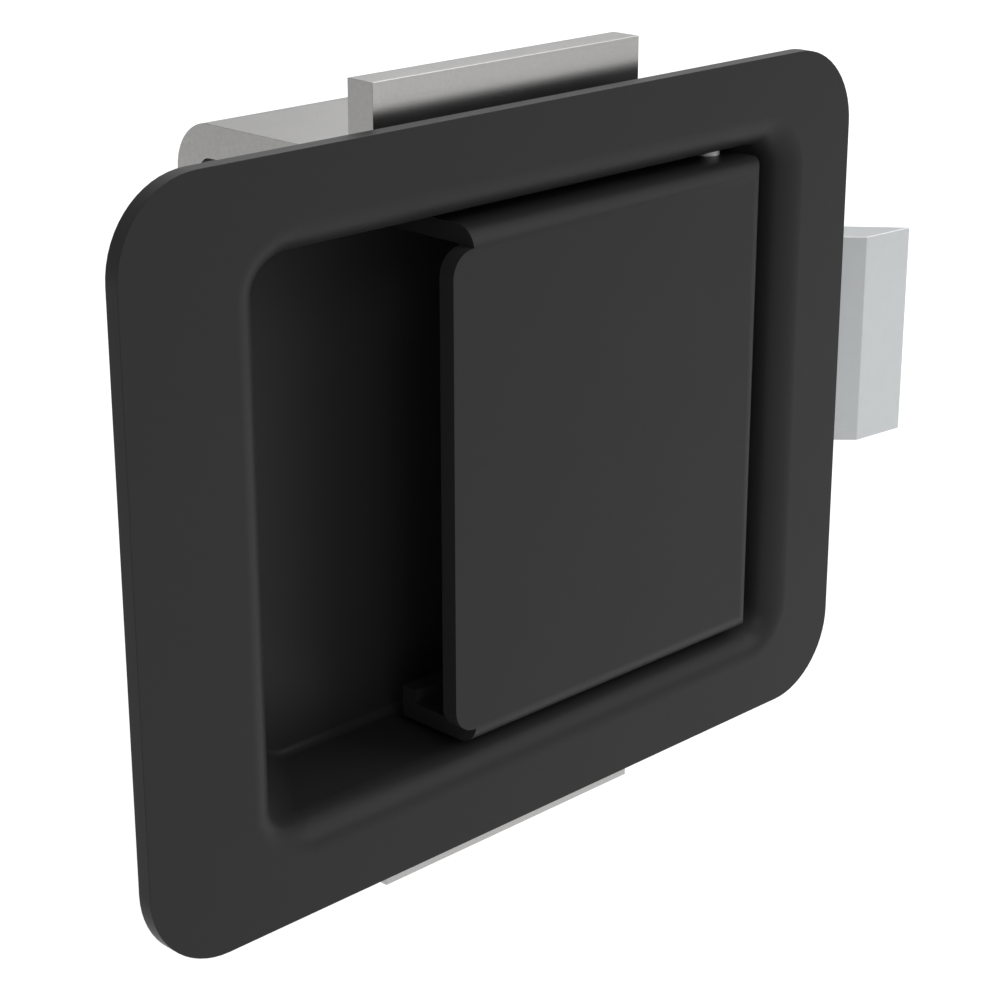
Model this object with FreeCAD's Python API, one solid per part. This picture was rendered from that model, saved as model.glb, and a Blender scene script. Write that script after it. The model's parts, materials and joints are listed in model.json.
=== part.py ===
import FreeCAD, Part

import math
import os

# Flush slam latch for a hinged door. A drawn steel tray sits in a cut-out of the door and a folded
# paddle turns on an upright pin inside it. Two lever arms behind the paddle pass through the tray's
# floor and draw a spring-loaded slam bolt back. A strap bracket on two weld studs clamps the door.
# Frame: millimetres, +X towards the bolt, +Y into the door, +Z up. The origin is the centre of the
# flange's back face, which is the face that seats on the door.

# Tray
TRAY_SHEET = 2.5
FLANGE_WIDTH = 145.0
FLANGE_HEIGHT = 110.0
FLANGE_CORNER_R = 13.0
RECESS_DEPTH = 20.0
RECESS_LEFT = -51.6
RECESS_RIGHT = 56.2
RECESS_HALF_HEIGHT = 40.9
RECESS_LEFT_SLOPE_DEG = 36.5
RECESS_CORNER_R = 4.2
RECESS_FLOOR_R = 1.2
DRAW_R = 5.0

# Paddle
PADDLE_SHEET = 2.8
PADDLE_WIDTH = 68.0
PADDLE_TOP_DEPTH = 17.4
PADDLE_BOTTOM_DEPTH = 15.9
PADDLE_PROUD = 0.5
PADDLE_END_GAP = 1.35
PADDLE_HINGE_GAP = 4.4
PADDLE_BEND_R = 3.5
PADDLE_LIP = 5.0
PADDLE_TONGUE = 4.1
PADDLE_TONGUE_SHOULDER = 3.0
PADDLE_TONGUE_R = 3.9
PADDLE_HINGE_LIP = 4.6
PADDLE_HINGE_CORNER_R = 0.6

# Pivot pin and its clip
PIN_R = 2.0
PIN_FROM_PADDLE_EDGE = 4.6
PIN_FROM_FLANGE_BACK = 5.7
PIN_HEAD_R = 3.2
PIN_HEAD = 1.6
PIN_TAIL = 3.2
PIN_GROOVE_DEPTH = 0.4
CLIP_THICKNESS = 0.7
CLIP_R = 3.5
CLIP_MOUTH = 2.6
CLIP_SEAT_GAP = 0.1
RUNNING_GAP = 0.05

# Trip lever
LEVER_SHEET = 2.5
LEVER_BEND_R = 0.5
LEVER_SPAN = 24.5
LEVER_BASE = 24.0
LEVER_BASE_FROM_PIN = 5.5
LEVER_HEEL = 3.5
ARM_WIDTH = 7.0
ARM_REACH = 23.6
ARM_BOSS_R = 4.2
ARM_SIDE_GAP = 0.6
OPENING_DEG = 35.0
STOP_GAP = 0.3

# Slam bolt
BOLT_HEIGHT = 36.6
BOLT_THICKNESS = 16.0
BOLT_TIP_X = 102.0
BOLT_TIP_FROM_FLANGE_BACK = 5.6
BOLT_FACE = 10.8
BOLT_FACE_LEAN = 1.0
BOLT_FRONT_RAMP_DEG = 45.0
BOLT_SLAM_RAMP_DEG = 50.0
BOLT_TAIL_X = -2.0
BOLT_GAP = 0.3
BOLT_PLAY = 1.0
ARM_LEAD_GAP = 0.23
ARM_END_GAP = 0.4
STOP_PIN_R = 2.5
STOP_PIN_X = 20.0
STOP_PIN_DEPTH = 14.0
STOP_PIN_PROUD = 2.0

# Bolt housing
HOUSING_SHEET = 2.0
HOUSING_LEFT = -38.0
HOUSING_SHORT_OF_WALL = 0.2
HOUSING_FOOT = 10.4
HOUSING_INNER_BEND_R = 0.5
RIVET_SHANK_R = 2.0
RIVET_HEAD_R = 3.5
RIVET_HEAD = 1.4
RIVET_LEFT_X = 12.0
RIVET_FROM_RECESS_RIGHT = 6.2
RIVET_FROM_WALL = 4.9

# Spring guide and springs
GUIDE_R = 2.8
GUIDE_TENON_R = 2.0
GUIDE_HEAD_R = 3.5
GUIDE_HEAD = 1.2
GUIDE_SHORT_OF_BOLT = 2.0
GUIDE_BORE_GAP = 0.4
GUIDE_BORE_DEPTH = 14.0
BOLT_WIRE = 1.4
BOLT_COIL_GAP = 0.6
BOLT_COILS = 7.5
PADDLE_WIRE = 1.0
PADDLE_COIL_GAP = 0.8
PADDLE_COILS = 5.5
PADDLE_COIL_LENGTH = 15.0
PADDLE_LEG = 7.7
PADDLE_LEG_SHARE = 0.97
WIRE_SIDES = 6
STEPS_PER_TURN = 10

# Mounting bracket and its fixings
STRAP = 5.1
STRAP_WIDTH = 53.1
STRAP_CENTRE_X = 1.85
STRAP_INNER_R = 2.5
STRAP_BESIDE_TRAY = 1.25
STRAP_FOOT = 10.65
STRAP_BACK = 46.7
DOOR_SKIN = 3.5
STUD_R = 3.0
STUD_Z = 35.5
STUD_PROUD = 2.1
STUD_TIP_CHAMFER = 0.8
STUD_HOLE_GAP = 0.3
WASHER_R = 6.0
WASHER = 1.6
NUT_ACROSS_FLATS = 10.0
NUT = 5.0
NUT_CHAMFER = 0.5

# Places that follow from the sizes above
FLANGE_FRONT = -TRAY_SHEET
FLOOR_FRONT = FLANGE_FRONT + RECESS_DEPTH
FLOOR_BACK = FLOOR_FRONT + TRAY_SHEET
TRAY_HALF_HEIGHT = RECESS_HALF_HEIGHT + TRAY_SHEET
LEFT_LEAN = math.tan(math.radians(RECESS_LEFT_SLOPE_DEG))

PADDLE_FRONT = FLANGE_FRONT - PADDLE_PROUD
PADDLE_TOP_BACK = PADDLE_FRONT + PADDLE_TOP_DEPTH
PADDLE_BOTTOM_BACK = PADDLE_FRONT + PADDLE_BOTTOM_DEPTH
PADDLE_PLATE_BACK = PADDLE_FRONT + PADDLE_SHEET
PADDLE_RIGHT = RECESS_RIGHT - PADDLE_HINGE_GAP
PADDLE_LEFT = PADDLE_RIGHT - PADDLE_WIDTH
PADDLE_HALF_HEIGHT = RECESS_HALF_HEIGHT - PADDLE_END_GAP

PIN_X = PADDLE_RIGHT - PIN_FROM_PADDLE_EDGE
PIN_Y = PIN_FROM_FLANGE_BACK
PIN_HOLE_R = PIN_R + RUNNING_GAP

ARM_Z = (LEVER_SPAN - LEVER_SHEET) / 2
ARM_HALF = ARM_WIDTH / 2
ARM_END = PIN_Y + ARM_REACH + ARM_HALF
SLOT_HALF = LEVER_SHEET / 2 + ARM_SIDE_GAP
ARM_SWEEP = ARM_REACH * math.sin(math.radians(OPENING_DEG))
BOLT_TRAVEL = ARM_SWEEP - BOLT_PLAY + ARM_LEAD_GAP

BOLT_FRONT = FLOOR_BACK + BOLT_GAP
BOLT_BACK = BOLT_FRONT + BOLT_THICKNESS
BOLT_AXIS_Y = (BOLT_FRONT + BOLT_BACK) / 2
BOLT_HALF = BOLT_HEIGHT / 2
HOUSING_RIGHT = RECESS_RIGHT - HOUSING_SHORT_OF_WALL
HOUSING_INNER_HALF = BOLT_HALF + BOLT_GAP
HOUSING_INNER_BACK = BOLT_BACK + BOLT_GAP
HOUSING_BACK = HOUSING_INNER_BACK + HOUSING_SHEET
SEAT_X = HOUSING_LEFT + HOUSING_SHEET
RIVET_XS = (RIVET_LEFT_X, RECESS_RIGHT - RIVET_FROM_RECESS_RIGHT)
RIVET_Z = HOUSING_INNER_HALF + HOUSING_SHEET + RIVET_FROM_WALL

STRAP_INSIDE_BACK = STRAP_BACK - STRAP
STRAP_HALF_INSIDE = TRAY_HALF_HEIGHT + STRAP_BESIDE_TRAY
STRAP_HALF_OUTSIDE = STRAP_HALF_INSIDE + STRAP
STRAP_FOOT_TIP = STRAP_HALF_OUTSIDE + STRAP_FOOT
STRAP_LEFT = STRAP_CENTRE_X - STRAP_WIDTH / 2
WASHER_BACK = STRAP_BACK + WASHER
NUT_BACK = WASHER_BACK + NUT

ALONG_X = FreeCAD.Vector(1, 0, 0)
ALONG_Y = FreeCAD.Vector(0, 1, 0)
ALONG_Z = FreeCAD.Vector(0, 0, 1)
SIDES = {"top": 1, "bottom": -1}


# Helpers for outlines and sections
def in_plan(x, y, z=0.0):
    """A point of an outline drawn from above."""
    return FreeCAD.Vector(x, y, z)


def in_front(x, z, y=0.0):
    """A point of an outline drawn from the front."""
    return FreeCAD.Vector(x, y, z)


def in_section(y, z, x=0.0):
    """A point of an outline drawn from the side."""
    return FreeCAD.Vector(x, y, z)


def rounded_wire(corners):
    """A closed wire through corners given as (point, radius). Radius 0 leaves a corner sharp."""
    ends = []
    for index, (point, radius) in enumerate(corners):
        before = corners[index - 1][0] - point
        after = corners[(index + 1) % len(corners)][0] - point
        before.normalize()
        after.normalize()
        if radius == 0:
            ends.append((point, None, point))
            continue
        half_angle = before.getAngle(after) / 2
        middle = before + after
        middle.normalize()
        reach = radius / math.tan(half_angle)
        bulge = radius / math.sin(half_angle) - radius
        ends.append((point + before * reach, point + middle * bulge, point + after * reach))
    edges = []
    for index, (start, middle, end) in enumerate(ends):
        left = ends[index - 1][2]
        if left.distanceToPoint(start) > 1e-6:
            edges.append(Part.LineSegment(left, start).toShape())
        if middle is not None:
            edges.append(Part.Arc(start, middle, end).toShape())
    return Part.Wire(Part.__sortEdges__(edges))


def prism(corners, direction):
    """The solid swept by a rounded outline along a direction."""
    return Part.Face(rounded_wire(corners)).extrude(direction)


def folded_section(path, thickness, inner_radius, point_at):
    """The rounded outline of a folded strip. The path is one face of the sheet, which lies to its left."""
    offsets = []
    turns = []
    for index, (u, v) in enumerate(path):
        first = max(index - 1, 0)
        last = min(index + 1, len(path) - 1)
        into = unit(path[first], path[first + 1])
        out = unit(path[last - 1], path[last])
        turn = into[0] * out[1] - into[1] * out[0]
        mitre = 1 + into[0] * out[0] + into[1] * out[1]
        normal = (-(into[1] + out[1]) / mitre, (into[0] + out[0]) / mitre)
        offsets.append((u + normal[0] * thickness, v + normal[1] * thickness))
        turns.append(turn)
    corners = []
    for (u, v), turn in zip(path, turns):
        outside = inner_radius + thickness if turn > 0 else inner_radius
        corners.append((point_at(u, v), outside if abs(turn) > 1e-9 else 0))
    for (u, v), turn in reversed(list(zip(offsets, turns))):
        outside = inner_radius if turn > 0 else inner_radius + thickness
        corners.append((point_at(u, v), outside if abs(turn) > 1e-9 else 0))
    return corners


def unit(start, end):
    """The unit direction from one flat point to another."""
    length = math.hypot(end[0] - start[0], end[1] - start[1])
    return ((end[0] - start[0]) / length, (end[1] - start[1]) / length)


def rectangle(left, right, low, high, point_at, radius=0.0):
    """The four corners of a rectangle, each with the same radius."""
    flat = ((left, low), (right, low), (right, high), (left, high))
    return [(point_at(u, v), radius) for u, v in flat]


def block(x, y, z):
    """A box given by its (low, high) pair on each axis."""
    size = (x[1] - x[0], y[1] - y[0], z[1] - z[0])
    return Part.makeBox(*size, FreeCAD.Vector(x[0], y[0], z[0]))


def rod(radius, start, length, direction):
    """A cylinder from a start point along a direction."""
    return Part.makeCylinder(radius, length, start, direction)


def edges_where(shape, test):
    """The edges of a shape that pass a test on their bounding box."""
    return [edge for edge in shape.Edges if test(edge.BoundBox)]


def lies_at_y(y):
    """A test for edges that lie in the plane at y."""
    return lambda box: abs(box.YMin - y) < 1e-4 and abs(box.YMax - y) < 1e-4


def export(shape, node):
    """Write one node as its own file and check that its solids are sound."""
    shape = shape.removeSplitter()
    if not shape.isValid() or not shape.Solids:
        raise ValueError(node + " is not a sound solid")
    result = shape.Solids[0] if len(shape.Solids) == 1 else Part.makeCompound(shape.Solids)
    result.exportStep("parts/" + node + ".step")
    print(node, len(shape.Solids), "solid", round(shape.Volume / 1000, 3), "cm3")


# Tray
def tray_form(wall):
    """The recess as a solid, grown by a wall thickness all round and at the floor."""
    slant = wall / math.cos(math.radians(RECESS_LEFT_SLOPE_DEG))
    front_left = RECESS_LEFT - slant
    back = FLOOR_FRONT + wall
    back_left = front_left + (back - FLANGE_FRONT) * LEFT_LEAN
    plan = [
        (in_plan(front_left, FLANGE_FRONT), 0),
        (in_plan(RECESS_RIGHT + wall, FLANGE_FRONT), 0),
        (in_plan(RECESS_RIGHT + wall, back), 0),
        (in_plan(back_left, back), 0),
    ]
    half = RECESS_HALF_HEIGHT + wall
    form = prism(plan, ALONG_Z * (2 * half))
    form.translate(ALONG_Z * -half)
    upright = edges_where(form, lambda box: box.ZLength < 1e-4 and box.YLength > RECESS_DEPTH / 2)
    form = form.makeFillet(RECESS_CORNER_R + wall, upright)
    floor = edges_where(form, lies_at_y(back))
    return form.makeFillet(RECESS_FLOOR_R + wall, floor)


def arm_slot(left, right, front, depth, side):
    """A square-ended slot that one lever arm passes through."""
    middle = side * ARM_Z
    return block((left, right), (front, front + depth), (middle - SLOT_HALF, middle + SLOT_HALF))


def floor_slot_span():
    """The left and right ends of the slots in the floor, which stop the arms at both limits."""
    swing = math.radians(OPENING_DEG)
    back_reach = FLOOR_BACK - PIN_Y
    left = PIN_X - back_reach * math.tan(swing) - ARM_HALF / math.cos(swing) - STOP_GAP
    return left, PIN_X + ARM_HALF + STOP_GAP


def recess_tray():
    """The drawn tray: a flat flange with a rounded draw into a dished recess of the same sheet."""
    half_width = FLANGE_WIDTH / 2
    half_height = FLANGE_HEIGHT / 2
    outline = rectangle(-half_width, half_width, -half_height, half_height, in_front, FLANGE_CORNER_R)
    flange = prism(outline, ALONG_Y * TRAY_SHEET)
    flange.translate(ALONG_Y * FLANGE_FRONT)
    shell = flange.fuse(tray_form(TRAY_SHEET)).removeSplitter()
    neck = edges_where(shell, lambda box: lies_at_y(0)(box) and box.ZMax < half_height - 1
                       and box.ZMin > 1 - half_height and box.XMax < half_width - 1
                       and box.XMin > 1 - half_width)
    shell = shell.makeFillet(DRAW_R - TRAY_SHEET, neck)
    shell = shell.cut(tray_form(0.0))
    mouth = edges_where(shell, lambda box: lies_at_y(FLANGE_FRONT)(box)
                        and box.ZMax < RECESS_HALF_HEIGHT + 1 and box.ZMin > -RECESS_HALF_HEIGHT - 1
                        and box.XMax < RECESS_RIGHT + 1 and box.XMin > RECESS_LEFT - 1)
    shell = shell.makeFillet(DRAW_R, mouth)
    slot_left, slot_right = floor_slot_span()
    for side in SIDES.values():
        shell = shell.cut(arm_slot(slot_left, slot_right, FLOOR_FRONT, TRAY_SHEET, side))
        for x in RIVET_XS:
            start = FreeCAD.Vector(x, FLOOR_FRONT, side * RIVET_Z)
            shell = shell.cut(rod(RIVET_SHANK_R, start, TRAY_SHEET, ALONG_Y))
    start = FreeCAD.Vector(PIN_X, PIN_Y, -TRAY_HALF_HEIGHT)
    return shell.cut(rod(PIN_HOLE_R, start, 2 * TRAY_HALF_HEIGHT, ALONG_Z))


# Paddle
def paddle_form(inset):
    """The paddle's outside, or its inside when inset by the sheet, as a rounded solid open behind."""
    bend = PADDLE_BEND_R - inset
    half = PADDLE_HALF_HEIGHT - inset
    front = PADDLE_FRONT + inset
    right = PADDLE_RIGHT - inset
    section = [
        (in_section(front, -half), bend),
        (in_section(front, half), bend),
        (in_section(PADDLE_TOP_BACK, half), 0),
        (in_section(PADDLE_TOP_BACK, -half), 0),
    ]
    plan = [
        (in_plan(PADDLE_LEFT, front), 0),
        (in_plan(right, front), bend),
        (in_plan(right, PADDLE_TOP_BACK), 0),
        (in_plan(PADDLE_LEFT, PADDLE_TOP_BACK), 0),
    ]
    along = prism(section, ALONG_X * PADDLE_WIDTH)
    along.translate(ALONG_X * PADDLE_LEFT)
    upward = prism(plan, ALONG_Z * (2 * half))
    upward.translate(ALONG_Z * -half)
    return along.common(upward)


def paddle_tongue():
    """The flat lip of the paddle that the fingers pull, with its rounded corners."""
    half = PADDLE_HALF_HEIGHT - PADDLE_TONGUE_SHOULDER
    outline = rectangle(PADDLE_LEFT, PADDLE_LEFT + PADDLE_WIDTH / 2, -half, half, in_front, PADDLE_TONGUE_R)
    tongue = prism(outline, ALONG_Y * PADDLE_SHEET)
    tongue.translate(ALONG_Y * PADDLE_FRONT)
    return tongue


def paddle_sides():
    """The part of the paddle with folded sides, rounded at its hinge end to clear the tray's corners."""
    left = PADDLE_LEFT + PADDLE_TONGUE
    outline = [
        (in_front(left, -PADDLE_HALF_HEIGHT), 0),
        (in_front(PADDLE_RIGHT, -PADDLE_HALF_HEIGHT), PADDLE_HINGE_CORNER_R),
        (in_front(PADDLE_RIGHT, PADDLE_HALF_HEIGHT), PADDLE_HINGE_CORNER_R),
        (in_front(left, PADDLE_HALF_HEIGHT), 0),
    ]
    sides = prism(outline, ALONG_Y * PADDLE_TOP_DEPTH)
    sides.translate(ALONG_Y * PADDLE_FRONT)
    return sides


def paddle():
    """The folded paddle: a face plate, a top side, a bottom side with a lip and a short lip at the pin."""
    shell = paddle_form(0.0).cut(paddle_form(PADDLE_SHEET))
    whole_width = (PADDLE_LEFT, PADDLE_RIGHT)
    inner_half = PADDLE_HALF_HEIGHT - PADDLE_SHEET
    hinge_lip_back = PADDLE_FRONT + PADDLE_HINGE_LIP
    hinge_lip_left = PADDLE_RIGHT - PADDLE_BEND_R
    behind_lip = (hinge_lip_back, PADDLE_TOP_BACK)
    shell = shell.cut(block((hinge_lip_left, PADDLE_RIGHT), behind_lip, (-inner_half, inner_half)))
    shell = shell.cut(block(whole_width, (PADDLE_BOTTOM_BACK, PADDLE_TOP_BACK), (-PADDLE_HALF_HEIGHT, 0)))
    lip_thick = (PADDLE_BOTTOM_BACK - PADDLE_SHEET, PADDLE_BOTTOM_BACK)
    lip_tall = (-PADDLE_HALF_HEIGHT, PADDLE_LIP - PADDLE_HALF_HEIGHT)
    shell = shell.fuse(block(whole_width, lip_thick, lip_tall))
    body = shell.common(paddle_sides()).fuse(shell.common(paddle_tongue()))
    start = FreeCAD.Vector(PIN_X, PIN_Y, -PADDLE_HALF_HEIGHT)
    return body.cut(rod(PIN_HOLE_R, start, 2 * PADDLE_HALF_HEIGHT, ALONG_Z))


# Pivot pin and clip
def clip_faces():
    """The z of the clip's upper and lower faces, under the tray's bottom wall."""
    upper = -TRAY_HALF_HEIGHT - CLIP_SEAT_GAP
    return upper, upper - CLIP_THICKNESS


def pivot_pin():
    """A headed pin through the tray, the paddle and the lever, with a groove for its clip."""
    bottom = -TRAY_HALF_HEIGHT - PIN_TAIL
    shank = rod(PIN_R, FreeCAD.Vector(PIN_X, PIN_Y, bottom), TRAY_HALF_HEIGHT - bottom, ALONG_Z)
    head = rod(PIN_HEAD_R, FreeCAD.Vector(PIN_X, PIN_Y, TRAY_HALF_HEIGHT), PIN_HEAD, ALONG_Z)
    head = head.makeChamfer(PIN_HEAD / 4, edges_where(head, at_top(TRAY_HALF_HEIGHT + PIN_HEAD)))
    shank = shank.makeChamfer(PIN_R / 4, edges_where(shank, at_top(bottom)))
    upper, lower = clip_faces()
    start = FreeCAD.Vector(PIN_X, PIN_Y, lower)
    groove = rod(PIN_R + 1, start, upper - lower, ALONG_Z)
    groove = groove.cut(rod(PIN_R - PIN_GROOVE_DEPTH, start, upper - lower, ALONG_Z))
    return shank.fuse(head).cut(groove)


def at_top(z):
    """A test for edges that lie in the plane at z."""
    return lambda box: abs(box.ZMin - z) < 1e-4 and abs(box.ZMax - z) < 1e-4


def pin_clip():
    """The spring clip in the pin's groove, open on its left side."""
    upper, lower = clip_faces()
    start = FreeCAD.Vector(PIN_X, PIN_Y, lower)
    ring = rod(CLIP_R, start, upper - lower, ALONG_Z)
    ring = ring.cut(rod(PIN_R - PIN_GROOVE_DEPTH, start, upper - lower, ALONG_Z))
    mouth_y = (PIN_Y - CLIP_MOUTH / 2, PIN_Y + CLIP_MOUTH / 2)
    return ring.cut(block((PIN_X - CLIP_R, PIN_X), mouth_y, (lower, upper)))


# Trip lever
def lever_outline():
    """The lever seen from above: a heel along the paddle, a boss on the pin and an arm into the bolt."""
    low = -LEVER_SPAN / 2
    base_right = PIN_X - LEVER_BASE_FROM_PIN
    base_left = base_right - LEVER_BASE
    bend_back = PADDLE_PLATE_BACK + LEVER_BEND_R + LEVER_SHEET
    heel = [
        (in_plan(base_left, PADDLE_PLATE_BACK, low), 0),
        (in_plan(base_right, PADDLE_PLATE_BACK, low), 0),
        (in_plan(base_right, bend_back, low), 0),
        (in_plan(PIN_X, PIN_Y, low), 0),
        (in_plan(PIN_X - ARM_HALF, PIN_Y + ARM_BOSS_R, low), 0),
        (in_plan(base_left, PADDLE_PLATE_BACK + LEVER_HEEL, low), 1.0),
    ]
    form = prism(heel, ALONG_Z * LEVER_SPAN)
    form = form.fuse(rod(ARM_BOSS_R, in_plan(PIN_X, PIN_Y, low), LEVER_SPAN, ALONG_Z))
    tip = PIN_Y + ARM_REACH
    form = form.fuse(block((PIN_X - ARM_HALF, PIN_X + ARM_HALF), (PIN_Y, tip), (low, -low)))
    return form.fuse(rod(ARM_HALF, in_plan(PIN_X, tip, low), LEVER_SPAN, ALONG_Z))


def trip_lever():
    """The folded lever: a web welded to the paddle's back and two ears that carry the arms."""
    base_right = PIN_X - LEVER_BASE_FROM_PIN
    half = LEVER_SPAN / 2
    path = [(ARM_END, half), (PADDLE_PLATE_BACK, half), (PADDLE_PLATE_BACK, -half), (ARM_END, -half)]
    channel = prism(folded_section(path, LEVER_SHEET, LEVER_BEND_R, in_section), ALONG_X * LEVER_BASE)
    channel.translate(ALONG_X * (base_right - LEVER_BASE))
    for side in SIDES.values():
        middle = side * ARM_Z
        ear = (middle - LEVER_SHEET / 2, middle + LEVER_SHEET / 2)
        channel = channel.fuse(block((base_right, PIN_X + ARM_BOSS_R), (PADDLE_PLATE_BACK, ARM_END), ear))
    lever = lever_outline().common(channel)
    start = FreeCAD.Vector(PIN_X, PIN_Y, -half)
    return lever.cut(rod(PIN_HOLE_R, start, LEVER_SPAN, ALONG_Z))


# Slam bolt and stop pin
def slam_bolt():
    """The bolt: a square shank with a cranked nose, a slam ramp behind and pockets for the arms."""
    tip_y = BOLT_TIP_FROM_FLANGE_BACK
    face_x = BOLT_TIP_X - BOLT_FACE
    face_y = tip_y + BOLT_FACE_LEAN
    front_x = face_x - (BOLT_FRONT - face_y) / math.tan(math.radians(BOLT_FRONT_RAMP_DEG))
    back_x = BOLT_TIP_X - (BOLT_BACK - tip_y) / math.tan(math.radians(BOLT_SLAM_RAMP_DEG))
    plan = [
        (in_plan(BOLT_TAIL_X, BOLT_FRONT, -BOLT_HALF), 0),
        (in_plan(front_x, BOLT_FRONT, -BOLT_HALF), 0),
        (in_plan(face_x, face_y, -BOLT_HALF), 0),
        (in_plan(BOLT_TIP_X, tip_y, -BOLT_HALF), 0),
        (in_plan(back_x, BOLT_BACK, -BOLT_HALF), 0),
        (in_plan(BOLT_TAIL_X, BOLT_BACK, -BOLT_HALF), 0),
    ]
    bolt = prism(plan, ALONG_Z * BOLT_HEIGHT)
    pocket_left = PIN_X - ARM_HALF - BOLT_PLAY
    pocket_right = PIN_X + ARM_HALF + BOLT_TRAVEL + BOLT_PLAY
    pocket_depth = ARM_END + ARM_END_GAP - BOLT_FRONT
    for side in SIDES.values():
        bolt = bolt.cut(arm_slot(pocket_left, pocket_right, BOLT_FRONT, pocket_depth, side))
    bore = FreeCAD.Vector(BOLT_TAIL_X, BOLT_AXIS_Y, 0)
    bolt = bolt.cut(rod(GUIDE_R + GUIDE_BORE_GAP, bore, GUIDE_BORE_DEPTH, ALONG_X))
    hole = FreeCAD.Vector(STOP_PIN_X, BOLT_BACK - STOP_PIN_DEPTH, 0)
    return bolt.cut(rod(STOP_PIN_R, hole, STOP_PIN_DEPTH, ALONG_Y))


def bolt_stop_pin():
    """The dowel pressed into the bolt, whose end runs in the housing's slot and stops the bolt."""
    start = FreeCAD.Vector(STOP_PIN_X, BOLT_BACK - STOP_PIN_DEPTH, 0)
    length = HOUSING_BACK + STOP_PIN_PROUD - start.y
    pin = rod(STOP_PIN_R, start, length, ALONG_Y)
    return pin.makeChamfer(STOP_PIN_R / 5, edges_where(pin, lies_at_y(start.y + length)))


# Bolt housing
def bolt_housing():
    """The folded channel that guides the bolt, with feet on the tray and a closed spring end."""
    foot_tip = HOUSING_INNER_HALF + HOUSING_SHEET + HOUSING_FOOT
    path = [
        (FLOOR_BACK, -foot_tip),
        (FLOOR_BACK, -HOUSING_INNER_HALF),
        (HOUSING_INNER_BACK, -HOUSING_INNER_HALF),
        (HOUSING_INNER_BACK, HOUSING_INNER_HALF),
        (FLOOR_BACK, HOUSING_INNER_HALF),
        (FLOOR_BACK, foot_tip),
    ]
    path.reverse()
    section = folded_section(path, HOUSING_SHEET, HOUSING_INNER_BEND_R, in_section)
    channel = prism(section, ALONG_X * (HOUSING_RIGHT - HOUSING_LEFT))
    channel.translate(ALONG_X * HOUSING_LEFT)
    end_y = (BOLT_FRONT, HOUSING_INNER_BACK)
    wall = (-HOUSING_INNER_HALF, HOUSING_INNER_HALF)
    housing = channel.fuse(block((HOUSING_LEFT, SEAT_X), end_y, wall))
    tenon = FreeCAD.Vector(HOUSING_LEFT, BOLT_AXIS_Y, 0)
    housing = housing.cut(rod(GUIDE_TENON_R, tenon, HOUSING_SHEET, ALONG_X))
    slot_half = STOP_PIN_R + STOP_GAP
    slot = rectangle(STOP_PIN_X - BOLT_TRAVEL - slot_half, STOP_PIN_X + slot_half, -slot_half, slot_half,
                     in_front, slot_half * 0.999)
    slot = prism(slot, ALONG_Y * HOUSING_SHEET)
    slot.translate(ALONG_Y * HOUSING_INNER_BACK)
    housing = housing.cut(slot)
    for side in SIDES.values():
        for x in RIVET_XS:
            start = FreeCAD.Vector(x, FLOOR_BACK, side * RIVET_Z)
            housing = housing.cut(rod(RIVET_SHANK_R, start, HOUSING_SHEET, ALONG_Y))
    return housing


def housing_rivet(x, side):
    """One rivet through the housing's foot and the tray, with a flat head at each end."""
    z = side * RIVET_Z
    length = TRAY_SHEET + HOUSING_SHEET
    shank = rod(RIVET_SHANK_R, FreeCAD.Vector(x, FLOOR_FRONT, z), length, ALONG_Y)
    inner = rod(RIVET_HEAD_R, FreeCAD.Vector(x, FLOOR_FRONT, z), RIVET_HEAD, ALONG_Y * -1)
    outer = rod(RIVET_HEAD_R, FreeCAD.Vector(x, FLOOR_FRONT + length, z), RIVET_HEAD, ALONG_Y)
    return shank.fuse(inner).fuse(outer)


# Springs and guide
def spring_guide():
    """The guide rod riveted into the housing's end, which carries the bolt spring."""
    body_start = FreeCAD.Vector(SEAT_X, BOLT_AXIS_Y, 0)
    body = rod(GUIDE_R, body_start, BOLT_TAIL_X - GUIDE_SHORT_OF_BOLT - SEAT_X, ALONG_X)
    body = body.makeChamfer(GUIDE_R / 4, edges_where(body, lambda box: box.XMin > SEAT_X + 1))
    tenon = rod(GUIDE_TENON_R, body_start - ALONG_X * HOUSING_SHEET, HOUSING_SHEET, ALONG_X)
    head_start = FreeCAD.Vector(HOUSING_LEFT - GUIDE_HEAD, BOLT_AXIS_Y, 0)
    head = rod(GUIDE_HEAD_R, head_start, GUIDE_HEAD, ALONG_X)
    return body.fuse(tenon).fuse(head)


def coil(mean_r, wire, length, turns):
    """A coil of even-sided wire about the Z axis, from the origin up, in straight steps."""
    steps = round(turns * STEPS_PER_TURN)
    sections = []
    for step in range(steps + 1):
        angle = 2 * math.pi * turns * step / steps
        outwards = FreeCAD.Vector(math.cos(angle), math.sin(angle), 0)
        centre = outwards * mean_r + ALONG_Z * (length * step / steps)
        points = []
        for corner in range(WIRE_SIDES):
            turn = 2 * math.pi * (corner + 0.5) / WIRE_SIDES
            points.append(centre + (outwards * math.cos(turn) + ALONG_Z * math.sin(turn)) * (wire / 2))
        sections.append(Part.makePolygon(points + [points[0]]))
    return Part.makeLoft(sections, True, True)


def bolt_spring():
    """The compression spring between the housing's end and the bolt's tail."""
    length = BOLT_TAIL_X - SEAT_X - BOLT_WIRE
    mean_r = GUIDE_R + BOLT_COIL_GAP + BOLT_WIRE / 2
    spring = coil(mean_r, BOLT_WIRE, length, BOLT_COILS)
    spring.rotate(FreeCAD.Vector(0, 0, 0), ALONG_Y, 90)
    spring.translate(FreeCAD.Vector(SEAT_X + BOLT_WIRE / 2, BOLT_AXIS_Y, 0))
    return spring


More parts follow.
